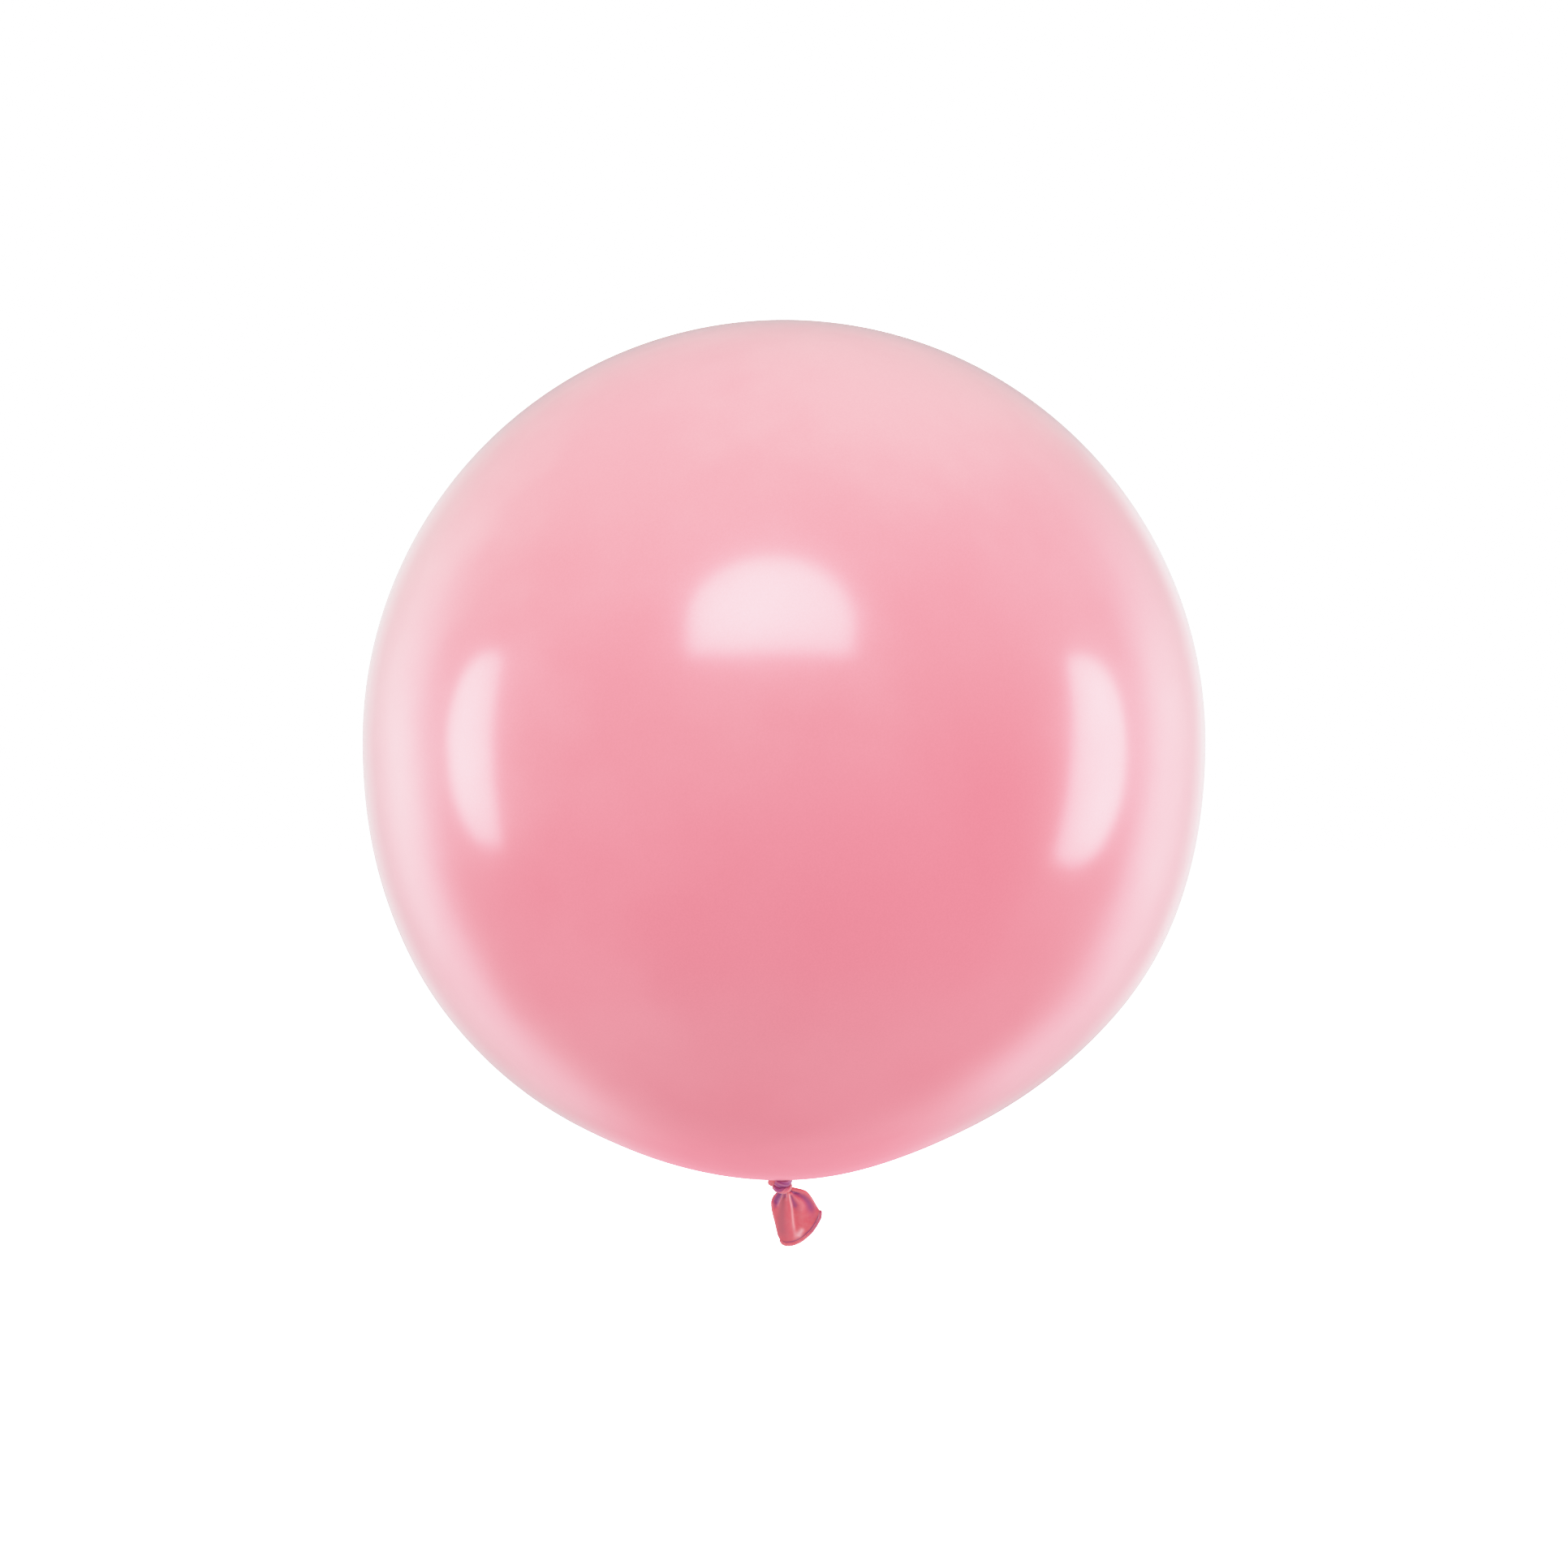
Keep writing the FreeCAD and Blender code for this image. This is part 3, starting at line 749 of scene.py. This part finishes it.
def make_bead(mouth):
    """The rolled rim: a round tube along the mouth's edge, with the lines of its turns."""
    path = through(np.vstack([mouth, mouth[:1]]) / MM, 361)[:-1]
    along = np.roll(path, -3, axis=0) - np.roll(path, 3, axis=0)
    along /= np.linalg.norm(along, axis=1)[:, None]
    side = np.cross(along, np.array(MOUTH_WAY))
    side /= np.linalg.norm(side, axis=1)[:, None]
    up = np.cross(side, along)
    turn = np.linspace(0, 2 * math.pi, 40, endpoint=False)
    rows, purple_shade, painted_highlight, dull_and_shade = [], [], [], []
    for i, centre in enumerate(path):
        t = i / len(path)
        right_half = smooth((centre[0] - 12.0) / 8.0)
        narrow = 1 - 0.14 * right_half * (1 - smooth((centre[0] - 24.0) / 2.0))
        narrow -= 0.28 * smooth((1.0 - centre[0]) / 3.5)
        uneven = 1 + 0.03 * math.sin(6 * math.pi * t + 1) + 0.02 * math.sin(22 * math.pi * t)
        size = BEAD_RADIUS * narrow * uneven
        groove = 1 - 0.05 * bell(np.sin(turn - 0.7), 0.16) - 0.04 * bell(np.sin(turn + 0.5), 0.13)
        ring = centre + size * np.outer(groove * np.cos(turn), side[i])
        ring = ring + size * np.outer(groove * np.sin(turn), up[i])
        rows.append(ring * MM)
        # Painted purple shade in the lines of its turns and over its right half; a painted
        # highlight along one side, weaker on the right; an even dull tone.
        rightward = float(smooth((centre[0] - 14.0) / 9.0))
        lines = 0.3 * bell(np.sin(turn - 0.7), 0.2) + 0.25 * bell(np.sin(turn + 0.5), 0.16)
        purple_shade.append(lines + 0.35 * rightward)
        painted_highlight.append((0.16 + 0.30 * bell(np.sin(turn - 1.6), 0.5)) * (1 - 0.6 * rightward))
        dull_and_shade.append(0.1 + 0 * turn)
    masks = {"purple_shade": purple_shade, "painted_highlight": painted_highlight, "dull_and_shade": dull_and_shade}
    return surface("mouth_roll", rows, closed_rows=True, masks=masks)


# ---- lights, floor and camera ----------------------------------------------------------------
CAMERA_AWAY = 1.8           # m in front of the bulb's centre and level with it
CAMERA_TILT = 0.95          # degrees that it looks down
LENS = 57.3                 # mm, on a sensor of 36 mm
FLOOR_Z = -2.4              # m
WHITE_TO_CAMERA = 3.0       # what the camera sees past the object; the curve takes it to white
# The tone curve's soft shoulder, as (light, value on the screen)
SHOULDER = [(0.4, 0.4), (0.75, 0.75), (1.0, 0.90), (1.4, 0.965), (2.2, 0.99)]
ROOM = 0.62                 # what the film mirrors where no light stands
ROOM_ABOVE = 0.25           # added straight up
ROOM_BEHIND = 0.45          # share of it that is left low behind the object
ROOM_HIGH_BEHIND = 0.12     # taken away high behind
ROOM_FAR_BACK = 0.32        # added straight behind at the sides, which the outermost rim mirrors
FAR_BACK_RIGHT = 1.2        # and so much more of it for each unit to the right
ROOM_TINT = (0.93, 1.0, 1.0)          # linear colour of the room's light
PINK_BOUNCE = 0.40          # added low behind, where the room takes the balloon's own pink light
BOUNCE_PINK = (1.0, 0.40, 0.49)       # and of that pink light
REAR_SIDES = 1.65           # added where the pale panels stand behind the object, left and right
# Radiances of the lamps
KEY = 6.5
STRIPS = 5.4
FILL_BELOW = 1.4
FILL_ABOVE = 0.6
FILL_FRONT = 0.35


def towards(azimuth, elevation):
    """Unit vector from the bulb's centre; azimuth 0 is at the camera, 90 to its right."""
    a, e = math.radians(azimuth), math.radians(elevation)
    return Vector((math.sin(a) * math.cos(e), -math.cos(a) * math.cos(e), math.sin(e)))


def stand(lamp, azimuth, elevation, away, roll=0.0):
    """Puts a lamp there with its face to the bulb's centre, and hides it from the camera."""
    out = towards(azimuth, elevation)
    lamp.location = Vector((0, 0, BULB_CENTRE_Z)) + out * away
    turned = out.to_track_quat("Z", "Y").to_matrix() @ Matrix.Rotation(math.radians(roll), 3, "Z")
    lamp.rotation_euler = turned.to_euler()
    lamp.visible_camera = False
    bpy.context.scene.collection.objects.link(lamp)
    return lamp


def softbox(name, azimuth, elevation, away, width, height, radiance):
    """A wide soft lamp that gives light but leaves no highlight in the film."""
    light = bpy.data.lights.new(name, "AREA")
    light.shape = "RECTANGLE"
    light.size = width
    light.size_y = height
    light.energy = radiance * math.pi * width * height
    lamp = stand(bpy.data.objects.new(name, light), azimuth, elevation, away)
    lamp.visible_glossy = False


def domed_panel(name, azimuth, elevation, away, width, height, radiance, roll=0.0):
    """A glowing panel with a straight lower edge and a domed top; roll turns it in its plane."""
    arc = np.linspace(0, math.pi, 33)
    dome = zip(width / 2 * np.cos(arc), height * (np.sin(arc) ** 0.8 - 0.35))
    outline = [(width / 2, -height / 2), *dome, (-width / 2, -height / 2)]
    mesh = bpy.data.meshes.new(name)
    mesh.from_pydata([(x, y, 0) for x, y in outline], [], [range(len(outline))])
    material = bpy.data.materials.new(name)
    material.use_nodes = True
    tree = material.node_tree
    tree.nodes.clear()
    glow = add(tree, "ShaderNodeEmission")
    glow.inputs["Strength"].default_value = radiance
    out = add(tree, "ShaderNodeOutputMaterial")
    tree.links.new(glow.outputs["Emission"], out.inputs["Surface"])
    mesh.materials.append(material)
    panel = stand(bpy.data.objects.new(name, mesh), azimuth, elevation, away, roll)


def make_lights():
    """The three highlights on the film are the domed panels; the fills only lift its shade."""
    domed_panel("key_above_front", -3.4, 30.8, 1.6, 1.10, 0.57, KEY)
    domed_panel("strip_left", -81.0, 0.5, 1.6, 0.96, 0.38, STRIPS, 90.0)
    domed_panel("strip_right", 81.5, -2.0, 1.6, 1.04, 0.48, STRIPS, -96.0)
    softbox("fill_below", 0.0, -90.0, 2.0, 3.0, 3.0, FILL_BELOW)
    softbox("fill_above", 0.0, 90.0, 2.0, 3.0, 3.0, FILL_ABOVE)
    softbox("fill_front", 0.0, -25.0, 2.6, 3.0, 2.0, FILL_FRONT)


def make_room():
    """White to the camera; to everything else a soft room with pale panels behind on both sides.
    Directions: right, back and up are from -1 to 1; rise is how steeply the direction points up
    when it is seen from the front, from -1 straight down to 1 straight up."""
    world = bpy.data.worlds.new("pale_studio")
    world.use_nodes = True
    tree = world.node_tree
    tree.nodes.clear()
    links = tree.links

    def maths(operation, a, b=None):
        node = add(tree, "ShaderNodeMath", operation=operation)
        for socket, value in zip(node.inputs, (a, b)):
            if isinstance(value, bpy.types.NodeSocket):
                links.new(value, socket)
            elif value is not None:
                socket.default_value = value
        return node.outputs["Value"]

    def times(a, b):
        return maths("MULTIPLY", a, b)

    def plus(a, b):
        return maths("ADD", a, b)

    place = add(tree, "ShaderNodeTexCoord")
    split = add(tree, "ShaderNodeSeparateXYZ")
    links.new(place.outputs["Generated"], split.inputs["Vector"])
    right, back, up = split.outputs
    across = maths("SQRT", plus(times(right, right), times(up, up)))
    rise = maths("DIVIDE", up, maths("MAXIMUM", across, 0.001))

    # the pale panels: a ring behind the object, cut off above and thinned below
    lower = times(maths("MINIMUM", plus(rise, 0.45), 0.0), 0.35)
    inner_edge = plus(back, lower)
    begins = scaled(tree, inner_edge, 0.14, 0.47)
    fades = scaled(tree, inner_edge, 0.45, 0.88, 1.0, 0.0)
    not_above = scaled(tree, rise, -0.05, 0.85, 1.0, 0.0)
    far_below = scaled(tree, rise, -1.05, -0.8, 0.0, 0.55)
    not_below = plus(far_below, scaled(tree, rise, -0.8, -0.2, 0.0, 0.45))
    panels = times(times(begins, fades), times(not_above, not_below))

    # the room: lighter straight up, dim low behind, a little darker high behind
    overhead = times(scaled(tree, up, 0.2, 1.0), ROOM_ABOVE)
    steep = scaled(tree, rise, -0.35, -0.95)
    low = times(scaled(tree, back, -0.1, 0.5), scaled(tree, back, 0.78, 0.97, 1.0, 0.0))
    dim = times(times(low, steep), ROOM_BEHIND - 1.0)
    room_level = times(plus(overhead, ROOM), plus(dim, 1.0))
    high = times(scaled(tree, rise, 0.35, 0.95), scaled(tree, back, 0.2, 0.7))
    room_level = maths("SUBTRACT", room_level, times(high, ROOM_HIGH_BEHIND))

    # what the outermost rim mirrors at the sides
    sideways = scaled(tree, maths("ABSOLUTE", rise), 0.85, 0.5)
    far_back = times(sideways, scaled(tree, back, 0.76, 0.90, 0.0, ROOM_FAR_BACK))
    rightward = plus(times(maths("MAXIMUM", right, 0.0), FAR_BACK_RIGHT), 1.0)
    room_level = plus(room_level, times(far_back, rightward))

    # the balloon's own pink light, low behind
    pink = times(scaled(tree, rise, -0.86, -0.98), scaled(tree, back, 0.35, 0.85))
    room_level = plus(room_level, times(pink, PINK_BOUNCE))

    room = add(tree, "ShaderNodeBackground")
    links.new(plus(times(panels, REAR_SIDES), room_level), room.inputs["Strength"])
    links.new(mix(tree, pink, ROOM_TINT, BOUNCE_PINK), room.inputs["Color"])
    white = add(tree, "ShaderNodeBackground")
    white.inputs["Color"].default_value = (1, 1, 1, 1)
    white.inputs["Strength"].default_value = WHITE_TO_CAMERA
    path = add(tree, "ShaderNodeLightPath")
    either = add(tree, "ShaderNodeMixShader")
    links.new(path.outputs["Is Camera Ray"], either.inputs[0])
    links.new(room.outputs["Background"], either.inputs[1])
    links.new(white.outputs["Background"], either.inputs[2])
    out = add(tree, "ShaderNodeOutputWorld")
    links.new(either.outputs["Shader"], out.inputs["Surface"])
    bpy.context.scene.world = world


def make_floor():
    """A wide pale floor, lit as white as the background, far below; it only meets the camera."""
    mesh = bpy.data.meshes.new("floor")
    bm = bmesh.new()
    bmesh.ops.create_grid(bm, x_segments=1, y_segments=1, size=60)
    bm.to_mesh(mesh)
    bm.free()
    floor = bpy.data.objects.new("floor", mesh)
    floor.location.z = FLOOR_Z
    for kind in ("diffuse", "glossy", "transmission", "shadow"):
        setattr(floor, "visible_" + kind, False)
    bpy.context.scene.collection.objects.link(floor)
    paper = {"Base_Color": (0.9, 0.9, 0.9, 1), "Roughness": 0.9}
    material, tree, shader = new_material("floor_paper", **paper)
    shader.inputs["Emission Color"].default_value = (1, 1, 1, 1)
    shader.inputs["Emission Strength"].default_value = WHITE_TO_CAMERA
    bump(tree, shader, noise(tree, 40.0), 0.1, 0.001)
    floor.data.materials.append(material)


def make_camera():
    """Level with the bulb's centre, at the photograph's angle and framing."""
    camera = bpy.data.objects.new("camera", bpy.data.cameras.new("camera"))
    camera.data.lens = LENS
    camera.data.sensor_width = 36
    camera.location = (0, -CAMERA_AWAY, BULB_CENTRE_Z)
    camera.rotation_euler = (math.radians(90 - CAMERA_TILT), 0, 0)
    bpy.context.scene.collection.objects.link(camera)
    bpy.context.scene.camera = camera


def set_tone_curve():
    """Straight in the middle tones, with a soft shoulder that takes the background to white."""
    view = bpy.context.scene.view_settings
    view.view_transform = "Standard"
    view.use_curve_mapping = True
    mapping = view.curve_mapping
    mapping.clip_max_x = WHITE_TO_CAMERA
    curve = mapping.curves[3]           # the one for all three colours together
    curve.points[0].location = (0, 0)
    curve.points[-1].location = (WHITE_TO_CAMERA, 1.0)
    for x, y in SHOULDER:
        curve.points.new(x, y)
    for point in curve.points:
        point.handle_type = "AUTO_CLAMPED"
    mapping.update()


# ---- putting it together -------------------------------------------------------------------
def finish_piece(piece, material, node):
    """Gives a piece its material and hides the CAD part that it stands for."""
    piece.data.materials.append(material)
    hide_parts(node)


bulb, throat, throat_end = make_film()
roll = make_roll()
strand = make_strand()
loose = make_fold()
root, skirt, mouth = make_tail()
bead = make_bead(mouth)

neck_material = neck_latex("neck_latex")
finish_piece(bulb, bulb_latex(), "bulb_film")
finish_piece(throat, neck_material, "throat_gather")
finish_piece(throat_end, neck_material, "throat_gather")
finish_piece(roll, neck_material, "knot_wrap")
finish_piece(strand, neck_material, "knot_core")
finish_piece(loose, neck_material, "knot_fold")
finish_piece(root, neck_material, "tail_gather")
finish_piece(skirt, neck_material, "tail_skirt")
finish_piece(bead, neck_latex("bead_latex"), "mouth_bead")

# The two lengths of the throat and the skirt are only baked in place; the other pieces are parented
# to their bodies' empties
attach(bulb, "bulb")
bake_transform(throat)
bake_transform(throat_end)
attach(roll, "knot")
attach(strand, "knot")
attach(loose, "knot")
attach(root, "tail_root")
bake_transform(skirt)
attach(bead, "tail")

for piece in (root, skirt, bead):
    piece.visible_glossy = False    # the tail leaves no mirror image in the bulb above it

make_floor()
make_lights()
make_room()
make_camera()
set_tone_curve()
